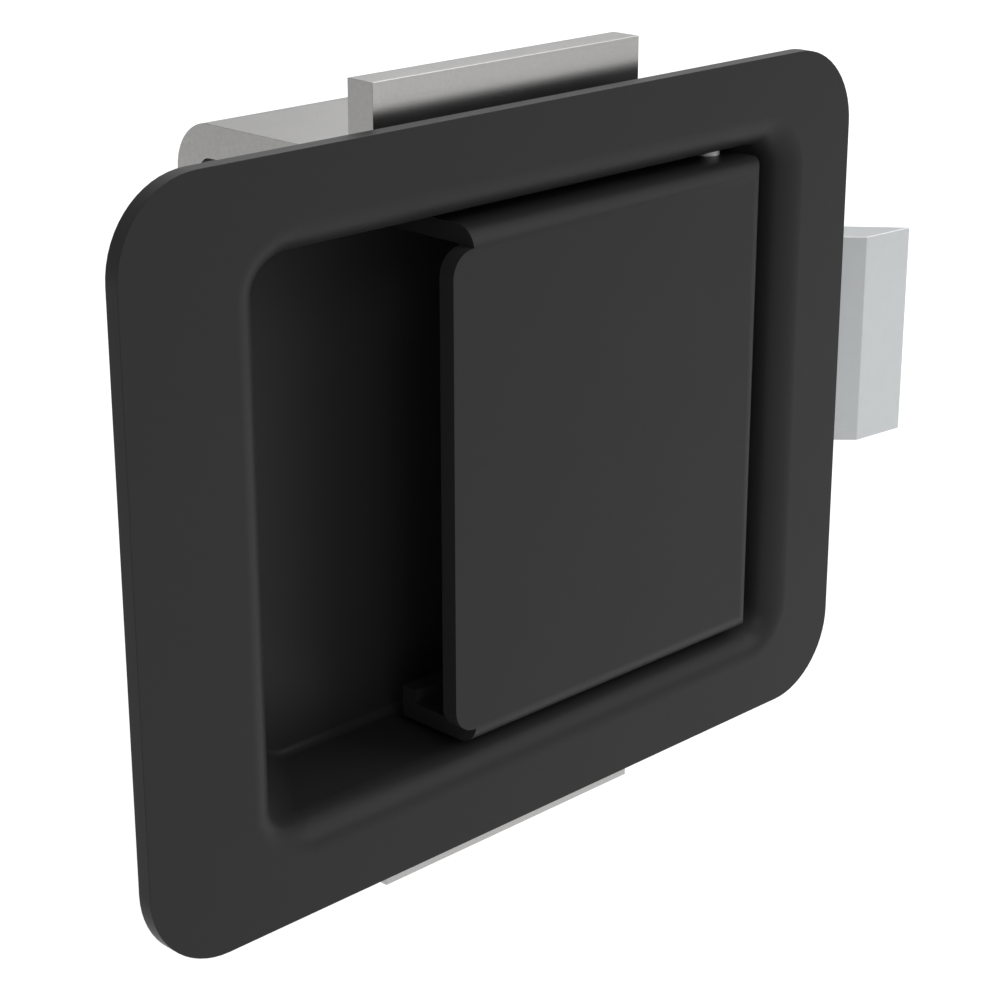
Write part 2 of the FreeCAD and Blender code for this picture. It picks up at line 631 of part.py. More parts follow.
def wire_run(start, end, radius, lap):
    """A straight run of even-sided wire that laps a little past both of its ends."""
    along = end - start
    along.normalize()
    across = along.cross(ALONG_Z if abs(along.z) < 0.5 else ALONG_X)
    across.normalize()
    third = along.cross(across)
    points = []
    for corner in range(WIRE_SIDES):
        turn = 2 * math.pi * (corner + 0.5) / WIRE_SIDES
        offset = (across * math.cos(turn) + third * math.sin(turn)) * radius
        points.append(start - along * lap + offset)
    face = Part.Face(Part.makePolygon(points + [points[0]]))
    return face.extrude(along * ((end - start).Length + 2 * lap))


def paddle_spring():
    """The torsion spring on the pin. Its upper leg bears on the tray, its lower leg on an arm."""
    mean_r = PIN_R + PADDLE_COIL_GAP + PADDLE_WIRE / 2
    leg_r = PADDLE_WIRE * PADDLE_LEG_SHARE / 2
    half = PADDLE_COIL_LENGTH / 2
    spring = coil(mean_r, PADDLE_WIRE, PADDLE_COIL_LENGTH, PADDLE_COILS)
    spring.rotate(FreeCAD.Vector(0, 0, 0), ALONG_Z, 180)
    spring.translate(FreeCAD.Vector(PIN_X, PIN_Y, -half))
    upper_start = FreeCAD.Vector(PIN_X + mean_r, PIN_Y, half)
    upper_end = FreeCAD.Vector(PIN_X + mean_r, FLOOR_FRONT - STOP_GAP - leg_r, half)
    lower_start = FreeCAD.Vector(PIN_X - mean_r, PIN_Y, -half)
    hook = FreeCAD.Vector(PIN_X - ARM_HALF - leg_r - RUNNING_GAP, PIN_Y + PADDLE_LEG, -half)
    drop_end = FreeCAD.Vector(hook.x, hook.y, -LEVER_SPAN / 2)
    runs = ((upper_start, upper_end), (lower_start, hook), (hook, drop_end))
    for start, end in runs:
        spring = spring.fuse(wire_run(start, end, leg_r, leg_r / 2))
    return spring


# Mounting bracket and fixings
def mounting_bracket():
    """The strap bracket: one bar folded round the tray, with feet turned out behind the door skin."""
    path = [
        (DOOR_SKIN, STRAP_FOOT_TIP),
        (DOOR_SKIN, STRAP_HALF_INSIDE),
        (STRAP_INSIDE_BACK, STRAP_HALF_INSIDE),
        (STRAP_INSIDE_BACK, -STRAP_HALF_INSIDE),
        (DOOR_SKIN, -STRAP_HALF_INSIDE),
        (DOOR_SKIN, -STRAP_FOOT_TIP),
    ]
    section = folded_section(path, STRAP, STRAP_INNER_R, in_section)
    bracket = prism(section, ALONG_X * STRAP_WIDTH)
    bracket.translate(ALONG_X * STRAP_LEFT)
    for side in SIDES.values():
        start = FreeCAD.Vector(STRAP_CENTRE_X, STRAP_INSIDE_BACK, side * STUD_Z)
        bracket = bracket.cut(rod(STUD_R + STUD_HOLE_GAP, start, STRAP, ALONG_Y))
    return bracket


def stud(side):
    """One weld stud on the back of the tray."""
    foot = FreeCAD.Vector(STRAP_CENTRE_X, FLOOR_BACK, side * STUD_Z)
    length = NUT_BACK + STUD_PROUD - FLOOR_BACK
    shank = rod(STUD_R, foot, length, ALONG_Y)
    return shank.makeChamfer(STUD_TIP_CHAMFER, edges_where(shank, lies_at_y(FLOOR_BACK + length)))


def ring(radius, y, thickness, side):
    """A flat ring on one stud."""
    start = FreeCAD.Vector(STRAP_CENTRE_X, y, side * STUD_Z)
    return rod(radius, start, thickness, ALONG_Y).cut(rod(STUD_R + RUNNING_GAP, start, thickness, ALONG_Y))


def stud_nut(side):
    """One hexagon nut with chamfered corners."""
    corner_r = NUT_ACROSS_FLATS / math.sqrt(3)
    centre = FreeCAD.Vector(STRAP_CENTRE_X, WASHER_BACK, side * STUD_Z)
    corners = []
    for index in range(6):
        angle = math.pi * index / 3
        corners.append((centre + FreeCAD.Vector(math.cos(angle), 0, math.sin(angle)) * corner_r, 0))
    nut = prism(corners, ALONG_Y * NUT)
    round_blank = rod(corner_r, centre, NUT, ALONG_Y)
    ends = lambda box: lies_at_y(WASHER_BACK)(box) or lies_at_y(NUT_BACK)(box)
    nut = nut.common(round_blank.makeChamfer(NUT_CHAMFER, edges_where(round_blank, ends)))
    return nut.cut(rod(STUD_R + RUNNING_GAP, centre, NUT, ALONG_Y))


def main():
    """Build every node and write it to its own file."""
    os.makedirs("parts", exist_ok=True)
    export(recess_tray(), "recess_tray")
    export(paddle(), "paddle")
    export(pivot_pin(), "pivot_pin")
    export(pin_clip(), "pin_clip")
    export(trip_lever(), "trip_lever")
    export(paddle_spring(), "paddle_spring")
    export(slam_bolt(), "slam_bolt")
    export(bolt_stop_pin(), "bolt_stop_pin")
    export(bolt_spring(), "bolt_spring")
    export(spring_guide(), "spring_guide")
    export(bolt_housing(), "bolt_housing")
    for place, x in zip(("left", "right"), RIVET_XS):
        for level, side in SIDES.items():
            export(housing_rivet(x, side), "rivet_" + level + "_" + place)
    export(mounting_bracket(), "mounting_bracket")
    for level, side in SIDES.items():
        export(stud(side), "weld_stud_" + level)
        export(ring(WASHER_R, STRAP_BACK, WASHER, side), "washer_" + level)
        export(stud_nut(side), "nut_" + level)


main()
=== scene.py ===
# %% [markdown]
# # A flush slam latch
# A drawn tray and a folded paddle, both coated black, in front of plated steel: a strap bracket, a
# cranked bolt and the small parts that join them. The model of the solids is loaded first and never
# changed. Each step below then gives one finish or one kind of piece its look, and the last steps light
# it.

# %% Load the solids
import json
import math

import bmesh
import bpy
from mathutils import Matrix, Vector


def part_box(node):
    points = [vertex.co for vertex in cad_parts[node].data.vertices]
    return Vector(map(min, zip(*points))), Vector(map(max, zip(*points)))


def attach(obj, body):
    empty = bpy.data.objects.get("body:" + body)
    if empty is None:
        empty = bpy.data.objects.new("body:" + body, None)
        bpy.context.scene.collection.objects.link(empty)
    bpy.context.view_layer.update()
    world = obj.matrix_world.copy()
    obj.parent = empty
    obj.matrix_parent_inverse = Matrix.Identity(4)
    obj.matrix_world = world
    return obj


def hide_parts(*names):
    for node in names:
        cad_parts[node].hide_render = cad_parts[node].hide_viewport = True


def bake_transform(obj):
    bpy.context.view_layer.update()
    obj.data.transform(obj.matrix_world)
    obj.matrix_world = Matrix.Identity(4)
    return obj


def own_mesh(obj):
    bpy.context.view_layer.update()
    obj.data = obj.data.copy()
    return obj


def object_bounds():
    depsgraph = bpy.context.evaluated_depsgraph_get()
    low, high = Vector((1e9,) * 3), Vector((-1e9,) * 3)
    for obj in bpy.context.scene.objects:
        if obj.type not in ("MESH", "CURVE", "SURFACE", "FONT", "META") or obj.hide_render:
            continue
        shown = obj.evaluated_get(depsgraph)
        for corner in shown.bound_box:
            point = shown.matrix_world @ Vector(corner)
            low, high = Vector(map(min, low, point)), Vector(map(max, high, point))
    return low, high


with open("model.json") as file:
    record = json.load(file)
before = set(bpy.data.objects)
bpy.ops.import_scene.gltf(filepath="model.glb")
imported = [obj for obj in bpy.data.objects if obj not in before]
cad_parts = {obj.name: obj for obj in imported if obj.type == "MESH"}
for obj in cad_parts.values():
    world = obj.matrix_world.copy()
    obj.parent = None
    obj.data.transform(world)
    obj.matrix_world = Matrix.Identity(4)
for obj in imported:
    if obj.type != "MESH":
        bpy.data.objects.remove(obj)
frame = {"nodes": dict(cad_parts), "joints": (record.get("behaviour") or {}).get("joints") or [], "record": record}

for startup in ("Cube", "Light", "Camera"):
    if startup in bpy.data.objects:
        bpy.data.objects.remove(bpy.data.objects[startup])

solids_low, solids_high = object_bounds()
print("solids in mm:", [round(v * 1000, 1) for v in solids_high - solids_low])

# %% [markdown]
# ## Who moves with whom
# The record says which nodes form each moving body. Each rounded copy later rides on the body of its
# node, and a table from node to body saves naming that body fourteen times.

# %% Bodies
body_of_node = {}
for body, nodes in frame["record"]["behaviour"]["bodies"].items():
    for node in nodes:
        body_of_node[node] = body
print("bodies:", sorted(set(body_of_node.values())), "nodes:", len(body_of_node))

# %% [markdown]
# ## Small helpers
# Sizes of pieces are written in millimetres, as a maker would, and turned to metres by one factor. The
# camera, the floor and the lamps are placed in metres. Colours are written as sRGB hex values, as a paint
# chart gives them, and turned to the linear values that a renderer works with. One function adds any kind
# of node: settings go to the node, and plain values and links go to its inputs. Where a whole node is
# given for an input, its first output is linked.

# %% Units, colours and nodes
MM = 0.001


def linear(hex_code):
    """A linear colour with alpha from an sRGB hex value."""
    channels = [int(hex_code[i:i + 2], 16) / 255 for i in (0, 2, 4)]
    return [c / 12.92 if c <= 0.04045 else ((c + 0.055) / 1.055) ** 2.4 for c in channels] + [1.0]


def per_metre(size_mm):
    """The texture scale whose features are about this many millimetres across."""
    return 1 / (size_mm * MM)


def add_node(tree, kind, inputs=None, **settings):
    """A new node with its settings, and with a value or a link for each named or numbered input."""
    node = tree.nodes.new(kind)
    for name, value in settings.items():
        setattr(node, name, value)
    for key, value in (inputs or {}).items():
        if isinstance(value, bpy.types.Node):
            value = value.outputs[0]
        if isinstance(value, bpy.types.NodeSocket):
            tree.links.new(value, node.inputs[key])
        else:
            node.inputs[key].default_value = value
    return node


print("middle grey in linear light:", round(linear("808080")[0], 4))

# %% [markdown]
# ## Satin black powder coat
# The tray and the paddle are steel sheet, dusted with polyester powder and baked. The film flows as it
# melts, so it rounds sharp edges and keeps a faint orange peel about a millimetre across. It is a black
# dielectric with matting powder in it, which gives a charcoal tone and only a weak, soft reflection of
# the room. A clear coat over a base would suit a lacquer, but powder is a single layer, so one plain
# dielectric does it. The peel goes into a bump, and a slower change in gloss keeps the large flat faces
# from looking like plastic film.

# %% Powder coat material
PEEL_MM = 1.1
PEEL_DEPTH_MM = 0.1
GLOSS_PATCH_MM = 14.0
GLOSSIEST, DULLEST = 0.39, 0.43
NOISE_LOW, NOISE_HIGH = 0.3, 0.7  # a noise texture seldom leaves this range


def satin_black_powder_coat():
    """Baked black powder with a faint orange peel."""
    material = bpy.data.materials.new("satin_black_powder_coat")
    material.use_nodes = True
    tree = material.node_tree
    tree.nodes.clear()
    place = add_node(tree, "ShaderNodeTexCoord").outputs["Object"]
    peel = add_node(tree, "ShaderNodeTexNoise", {
        "Vector": place, "Scale": per_metre(PEEL_MM), "Detail": 2.0})
    patch = add_node(tree, "ShaderNodeTexNoise", {
        "Vector": place, "Scale": per_metre(GLOSS_PATCH_MM), "Detail": 3.0})
    gloss = add_node(tree, "ShaderNodeMapRange", {
        "Value": patch, "From Min": NOISE_LOW, "From Max": NOISE_HIGH,
        "To Min": GLOSSIEST, "To Max": DULLEST})
    bump = add_node(tree, "ShaderNodeBump", {
        "Height": peel, "Strength": 0.06, "Distance": PEEL_DEPTH_MM * MM})
    coat = add_node(tree, "ShaderNodeBsdfPrincipled", {
        "Base Color": linear("262627"), "IOR": 1.45, "Specular IOR Level": 0.13,
        "Roughness": gloss, "Normal": bump})
    add_node(tree, "ShaderNodeOutputMaterial", {"Surface": coat})
    return material


powder_coat = satin_black_powder_coat()
print("material:", powder_coat.name)

# %% [markdown]
# ## Zinc plate
# The bracket is hot-rolled bar and the bolt is machined steel, and both are electroplated with zinc. The
# plate follows what is under it: on the rolled bar it is a grainy, neutral grey, and on the machined bolt
# it is bluer and shows only wide, faint patches. The pin's plate is dull, and its near-white colour is
# brighter than zinc: that is painted light for the light the pin catches in the narrow gap. So one recipe
# makes them all, with the colour, the roughness and the strength of the grain as values. A picture of
# plate could be wrapped round the pieces, but noise that is read at each point in space has no seams and
# needs no file. The grain tilts the surface a little and varies its tone, and the roughness wanders more
# slowly, which breaks up the reflections as plating does. The real crystals are far too fine to show, so
# the grain is drawn as coarse as it needs to be seen.

# %% Zinc plate materials
GRAIN_MM = 0.5  # coarser than the real plate's, which would not show
PATCH_MM = 2.0
GRAIN_DEPTH_MM = 0.05
GRAINS_PER_CLOUD = 18
GLOSS_SPREAD = 0.04


def zinc_plate(name, colour, roughness, grain_mm, grain_tilt, grain_tone):
    """Electroplated zinc over steel, with a grain that tilts the surface and varies its tone."""
    material = bpy.data.materials.new(name)
    material.use_nodes = True
    tree = material.node_tree
    tree.nodes.clear()
    place = add_node(tree, "ShaderNodeTexCoord").outputs["Object"]
    grain = add_node(tree, "ShaderNodeTexNoise", {
        "Vector": place, "Scale": per_metre(grain_mm), "Detail": 3.0})
    cloud = add_node(tree, "ShaderNodeTexNoise", {
        "Vector": place, "Scale": per_metre(grain_mm * GRAINS_PER_CLOUD), "Detail": 4.0})
    rough = add_node(tree, "ShaderNodeMapRange", {
        "Value": cloud, "From Min": NOISE_LOW, "From Max": NOISE_HIGH,
        "To Min": roughness * (1 - GLOSS_SPREAD), "To Max": roughness * (1 + GLOSS_SPREAD)})
    bump = add_node(tree, "ShaderNodeBump", {
        "Height": grain, "Strength": grain_tilt, "Distance": GRAIN_DEPTH_MM * MM})
    tone = add_node(tree, "ShaderNodeMapRange", {
        "Value": grain, "From Min": NOISE_LOW, "From Max": NOISE_HIGH,
        "To Min": 1 - grain_tone, "To Max": 1 + grain_tone})
    tint = add_node(tree, "ShaderNodeHueSaturation", {"Color": linear(colour), "Value": tone})
    plate = add_node(tree, "ShaderNodeBsdfPrincipled", {
        "Base Color": tint, "Metallic": 1.0, "Roughness": rough, "Normal": bump})
    add_node(tree, "ShaderNodeOutputMaterial", {"Surface": plate})
    return material


zinc_on_bar = zinc_plate("zinc_plate_on_rolled_bar", "a6a5a4", 0.25, GRAIN_MM, 0.04, 0.055)
zinc_on_bolt = zinc_plate("bright_zinc_plate_on_bolt", "b1b4b5", 0.28, PATCH_MM, 0.01, 0.012)
# The pin's near-white colour is painted light: it is brighter than zinc and stands in for the light the pin
# catches in the gap.
pin_zinc_painted_lighter = zinc_plate("dull_zinc_plate_on_pin_painted_lighter", "f8f8f8", 0.5, GRAIN_MM, 0.02, 0.02)
zinc_on_fixings = zinc_plate("zinc_plate_on_fixings", "bdbec0", 0.28, GRAIN_MM, 0.04, 0.055)
print("materials:", zinc_on_bar.name, zinc_on_bolt.name, pin_zinc_painted_lighter.name, zinc_on_fixings.name)

# %% [markdown]
# ## Oiled spring steel
# Springs and clips are drawn and tempered wire or strip, left bare under a film of oil. That gives a
# dark, even grey with a soft gleam along the wire. The film lies unevenly, and a wide noise in the
# roughness stands for that. The lines that the die leaves along the wire are too fine to show, so they
# are left out.

# %% Spring steel material
FILM_PATCH_MM = 2.5


def oiled_spring_steel():
    """Tempered wire and strip under a film of oil."""
    material = bpy.data.materials.new("oiled_spring_steel")
    material.use_nodes = True
    tree = material.node_tree
    tree.nodes.clear()
    place = add_node(tree, "ShaderNodeTexCoord").outputs["Object"]
    film = add_node(tree, "ShaderNodeTexNoise", {
        "Vector": place, "Scale": per_metre(FILM_PATCH_MM), "Detail": 2.0})
    rough = add_node(tree, "ShaderNodeMapRange", {"Value": film, "To Min": 0.24, "To Max": 0.38})
    steel = add_node(tree, "ShaderNodeBsdfPrincipled", {
        "Base Color": linear("6e6c69"), "Metallic": 1.0, "Roughness": rough})
    add_node(tree, "ShaderNodeOutputMaterial", {"Surface": steel})
    return material


spring_steel = oiled_spring_steel()
print("material:", spring_steel.name)

# %% [markdown]
# ## Edges that catch the light
# No sheared, folded or machined edge is truly sharp: coating and plating leave it with a radius of a few
# tenths of a millimetre, and that thin round is what draws a bright line along the edge. A shader can
# fake it, but only in a render, so here the mesh itself is rounded. The solids have sharp edges, so each
# rigid node gets a shown copy: its loose triangles are merged, flat regions are joined again, sharp edges
# are rounded by a bevel, and weighted normals keep the flats flat. The normals that the node's mesh has
# stored are dropped, because they fit the sharp edges only. The copy rides on the same body and replaces
# the node.

# %% A rounded copy of a node
MERGE_MM = 0.002
FLAT_DEG = 0.2
SHARP_DEG = 32
FLATS_FIRST = 80  # 50 is neutral, and above it the larger faces weigh more in a shared normal


def shown_copy(node, material, edge_mm):
    """A copy of a node's mesh with its sharp edges rounded."""
    mesh = bpy.data.meshes.new(node + "_shown")
    build = bmesh.new()
    build.from_mesh(frame["nodes"][node].data)
    bmesh.ops.remove_doubles(build, verts=build.verts, dist=MERGE_MM * MM)
    bmesh.ops.dissolve_limit(
        build, angle_limit=math.radians(FLAT_DEG), verts=build.verts, edges=build.edges)
    build.to_mesh(mesh)
    build.free()
    stored = mesh.attributes.get("custom_normal")
    if stored is not None:
        mesh.attributes.remove(stored)
    mesh.materials.append(material)
    rough = bpy.data.objects.new(node + "_rough", mesh)
    bpy.context.collection.objects.link(rough)
    for polygon in mesh.polygons:
        polygon.use_smooth = True
    bevel = rough.modifiers.new("edge", "BEVEL")
    bevel.width = edge_mm * MM
    bevel.segments = 2
    bevel.limit_method = "ANGLE"
    bevel.angle_limit = math.radians(SHARP_DEG)
    weights = rough.modifiers.new("normals", "WEIGHTED_NORMAL")
    weights.keep_sharp = True
    weights.weight = FLATS_FIRST
    depsgraph = bpy.context.evaluated_depsgraph_get()
    finished = bpy.data.meshes.new_from_object(rough.evaluated_get(depsgraph))
    bpy.data.objects.remove(rough)
    piece = bpy.data.objects.new(node + "_shown", finished)
    bpy.context.collection.objects.link(piece)
    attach(piece, body_of_node[node])
    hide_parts(node)
    return piece


print("rounded: edges of more than", SHARP_DEG, "degrees")

# %% Rounded copies of the rigid nodes
EDGES = [
    ("recess_tray", powder_coat, 0.15, "black_powder_coat"),
    ("paddle", powder_coat, 0.20, "black_powder_coat"),
    ("mounting_bracket", zinc_on_bar, 0.10, "zinc_plate"),
    ("slam_bolt", zinc_on_bolt, 0.15, "zinc_plate"),
    ("bolt_housing", zinc_on_fixings, 0.20, "zinc_plate"),
    ("trip_lever", zinc_on_fixings, 0.20, "zinc_plate"),
    ("spring_guide", zinc_on_fixings, 0.15, "zinc_plate"),
    ("bolt_stop_pin", zinc_on_fixings, 0.15, "zinc_plate"),
    ("pivot_pin", pin_zinc_painted_lighter, 0.15, "zinc_plate"),
    ("washer_top", zinc_on_fixings, 0.15, "zinc_plate"),
    ("washer_bottom", zinc_on_fixings, 0.15, "zinc_plate"),
    ("nut_top", zinc_on_fixings, 0.15, "zinc_plate"),
    ("nut_bottom", zinc_on_fixings, 0.15, "zinc_plate"),
    ("pin_clip", spring_steel, 0.08, "spring_steel"),
]
for node, material, edge_mm, slot in EDGES:
    piece = shown_copy(node, material, edge_mm)
    print(piece.name, len(piece.data.polygons), "faces")

# %% [markdown]
# ## A tree for a wound spring
# A spring is wire wound on a mandrel, so its shape follows one rule: the angle grows evenly along the
# wire while the height grows too. A Screw modifier could wind it, but with one pitch all the way, and
# the ends of a compression spring are closed up. Geometry Nodes can give the height its own rule. A flat
# ring is wound once for each turn, every point on it is lifted by a height that grows along the wire, and
# a round profile is swept along the result. In the closed turns at either end, the height grows by only
# one width of the wire for each turn. Straight legs come in as the modifier's own mesh of edges, whose
# corners are rounded before the same profile is swept along them.

# %% Helpers for geometry trees
def new_tree(name, sockets):
    """A geometry tree with a mesh in and out and one named input for each (name, kind, default)."""
    tree = bpy.data.node_groups.new(name, "GeometryNodeTree")
    tree.interface.new_socket("Geometry", in_out="INPUT", socket_type="NodeSocketGeometry")
    for socket_name, kind, default in sockets:
        socket = tree.interface.new_socket(socket_name, in_out="INPUT", socket_type=kind)
        if default is not None:
            socket.default_value = default
    tree.interface.new_socket("Geometry", in_out="OUTPUT", socket_type="NodeSocketGeometry")
    print("tree:", name, [socket_name for socket_name, kind, default in sockets])
    return tree


def close_tree(tree, geometry, material):
    """Realize, set the material and connect the output."""
    real = add_node(tree, "GeometryNodeRealizeInstances", {"Geometry": geometry})
    painted = add_node(tree, "GeometryNodeSetMaterial", {"Geometry": real, "Material": material})
    add_node(tree, "NodeGroupOutput", {0: painted})


# %% The spring tree
WIRE_SIDES = 14
POINTS_PER_TURN = 30
POINTS_PER_BEND = 6


def wound_spring_tree():
    """A helix of round wire about Z from the origin up, with legs swept along the input's edges."""
    tree = new_tree("wound_spring", [
        ("Turns", "NodeSocketFloat", 6.0),
        ("Height", "NodeSocketFloat", 0.02),
        ("Mean Radius", "NodeSocketFloat", 0.004),
        ("Wire Radius", "NodeSocketFloat", 0.0005),
        ("Closed Turns", "NodeSocketFloat", 0.0),
        ("Leg Bend", "NodeSocketFloat", 0.001),
        ("Material", "NodeSocketMaterial", None),
    ])
    given = add_node(tree, "NodeGroupInput").outputs
    wire = add_node(tree, "GeometryNodeCurvePrimitiveCircle", {
        "Resolution": WIRE_SIDES, "Radius": given["Wire Radius"]}, mode="RADIUS")
    flat_coil = add_node(tree, "GeometryNodeCurveSpiral", {
        "Resolution": POINTS_PER_TURN, "Rotations": given["Turns"], "Height": 0.0, "Reverse": True,
        "Start Radius": given["Mean Radius"], "End Radius": given["Mean Radius"]})
    share = add_node(tree, "GeometryNodeSplineParameter")
    turn = add_node(tree, "ShaderNodeMath", {0: share, 1: given["Turns"]}, operation="MULTIPLY")
    last = add_node(tree, "ShaderNodeMath", {
        0: given["Turns"], 1: given["Closed Turns"]}, operation="SUBTRACT")
    wire_width = add_node(tree, "ShaderNodeMath", {
        0: given["Wire Radius"], 1: 2.0}, operation="MULTIPLY")
    closed = add_node(tree, "ShaderNodeMath", {
        0: given["Closed Turns"], 1: wire_width}, operation="MULTIPLY")
    opened = add_node(tree, "ShaderNodeMath", {
        0: closed, 1: -2.0, 2: given["Height"]}, operation="MULTIPLY_ADD")
    foot = add_node(tree, "ShaderNodeMapRange", {
        "Value": turn, "From Max": given["Closed Turns"], "To Max": closed})
    middle = add_node(tree, "ShaderNodeMapRange", {
        "Value": turn, "From Min": given["Closed Turns"], "From Max": last, "To Max": opened})
    head = add_node(tree, "ShaderNodeMapRange", {
        "Value": turn, "From Min": last, "From Max": given["Turns"], "To Max": closed})
    low_rise = add_node(tree, "ShaderNodeMath", {0: foot, 1: middle}, operation="ADD")
    rise = add_node(tree, "ShaderNodeMath", {0: low_rise, 1: head}, operation="ADD")
    lift = add_node(tree, "ShaderNodeCombineXYZ", {"Z": rise})
    helix = add_node(tree, "GeometryNodeSetPosition", {"Geometry": flat_coil, "Offset": lift})
    legs = add_node(tree, "GeometryNodeMeshToCurve", {"Mesh": given["Geometry"]})
    bent = add_node(tree, "GeometryNodeFilletCurve", {
        "Curve": legs, "Radius": given["Leg Bend"], "Count": POINTS_PER_BEND}, mode="POLY")
    paths = add_node(tree, "GeometryNodeJoinGeometry")
    tree.links.new(bent.outputs[0], paths.inputs[0])
    tree.links.new(helix.outputs[0], paths.inputs[0])
    swept = add_node(tree, "GeometryNodeCurveToMesh", {
        "Curve": paths, "Profile Curve": wire, "Fill Caps": True})
    smooth = add_node(tree, "GeometryNodeSetShadeSmooth", {"Geometry": swept, "Shade Smooth": True})
    close_tree(tree, smooth, given["Material"])
    return tree


spring_tree = wound_spring_tree()
print(len(spring_tree.nodes), "nodes")

# %% [markdown]
# ## From a tree to a plain piece
# A modifier's inputs are set by each socket's identifier. The evaluated result is then turned into a
# plain mesh on an object at the origin, with its place in its points, as a solid's mesh is, and nothing
# live is left on it.

# %% Run a tree
def piece_from_tree(name, tree, values, points=(), edges=(), turn=None):
    """The plain mesh object that a tree makes from a mesh of points and edges, moved by a matrix."""
    base = bpy.data.meshes.new(name + "_base")
    base.from_pydata(points, edges, [])
    carrier = bpy.data.objects.new(name + "_carrier", base)
    bpy.context.collection.objects.link(carrier)
    modifier = carrier.modifiers.new("tree", "NODES")
    modifier.node_group = tree
    for item in tree.interface.items_tree:
        if item.item_type == "SOCKET" and item.in_out == "INPUT" and item.name in values:
            modifier[item.identifier] = values[item.name]
    depsgraph = bpy.context.evaluated_depsgraph_get()
    mesh = bpy.data.meshes.new_from_object(carrier.evaluated_get(depsgraph))
    bpy.data.objects.remove(carrier)
    if turn is not None:
        mesh.transform(turn)
    piece = bpy.data.objects.new(name, mesh)
    bpy.context.collection.objects.link(piece)
    print(name, len(mesh.polygons), "faces")
    return piece


def node_box(node):
    """The lowest and highest corner of a node, as vectors."""
    low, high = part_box(node)
    return Vector(low), Vector(high)


# %% [markdown]
# ## The bolt spring
# A compression spring has its end turns closed up so that it stands square on its seat, and open turns
# between. It fills the length between the housing's end and the bolt's tail. When the bolt is drawn back
# the spring shortens towards its seat.

# %% Bolt spring
BOLT_WIRE_MM = 1.4
BOLT_COIL_R_MM = 4.1
low, high = node_box("bolt_spring")
middle = (low + high) / 2
spring_length = high.x - low.x
along_bolt = Matrix.Rotation(math.pi / 2, 4, "Y")
seat = Matrix.Translation((low.x + BOLT_WIRE_MM / 2 * MM, middle.y, 0))
bolt_spring = piece_from_tree("bolt_spring_wire", spring_tree, {
    "Turns": 7.5,
    "Height": spring_length - BOLT_WIRE_MM * MM,
    "Mean Radius": BOLT_COIL_R_MM * MM,
    "Wire Radius": BOLT_WIRE_MM / 2 * MM,
    "Closed Turns": 0.9,
    "Material": spring_steel,
}, turn=seat @ along_bolt)
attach(bolt_spring, "tray")
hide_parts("bolt_spring")
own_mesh(bolt_spring)

# %% [markdown]
# ## The paddle spring
# A torsion spring is wound round the pin. Its upper leg rests on the tray's floor and its lower leg hooks
# behind a lever arm, so one end stays with the tray while the other turns with the paddle. The legs start
# on opposite sides of the coil, which is why it has half a turn more than five.

# %% Paddle spring
pin = Vector([j for j in frame["joints"] if j["name"] == "paddle_hinge"][0]["pos_m"])
PADDLE_COIL_R_MM = 3.3
PADDLE_WIRE_R_MM = 0.49
HALF_COIL_MM = 7.5
TO_FLOOR_MM = 10.9
BEHIND_ARM_MM = (-4.0, 7.7)
HOOK_END_MM = -12.1
upper_leg = [
    (PADDLE_COIL_R_MM, 0.0, HALF_COIL_MM),
    (PADDLE_COIL_R_MM, TO_FLOOR_MM, HALF_COIL_MM),
]
lower_leg = [
    (-PADDLE_COIL_R_MM, 0.0, -HALF_COIL_MM),
    (*BEHIND_ARM_MM, -HALF_COIL_MM),
    (*BEHIND_ARM_MM, HOOK_END_MM),
]
to_coil = Matrix.Translation((pin.x, pin.y, -HALF_COIL_MM * MM)) @ Matrix.Rotation(math.pi, 4, "Z")
leg_points = [to_coil.inverted() @ (pin + Vector(p) * MM) for p in upper_leg + lower_leg]
paddle_spring = piece_from_tree("paddle_spring_wire", spring_tree, {
    "Turns": 5.5,
    "Height": 2 * HALF_COIL_MM * MM,
    "Mean Radius": PADDLE_COIL_R_MM * MM,
    "Wire Radius": PADDLE_WIRE_R_MM * MM,
    "Closed Turns": 0.0,
    "Leg Bend": 0.9 * MM,
    "Material": spring_steel,
}, points=leg_points, edges=[(0, 1), (2, 3), (3, 4)], turn=to_coil)
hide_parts("paddle_spring")
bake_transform(paddle_spring)

# %% [markdown]
# ## Threaded studs
# The studs are cut with a metric thread, one millimetre from crest to crest. A thread can be swept along
# a helix and cut out with a Boolean, which is slow and leaves poor faces. On a round bar it is a groove
# whose depth depends on height and angle together, so a fine cylinder is enough: each of its points is
# moved in by a triangle wave that climbs one pitch per turn. Near the tip, a lead-in chamfer caps the
# radius.

# %% The thread tree
RINGS_PER_PITCH = 6.0
POINTS_PER_RING = 24


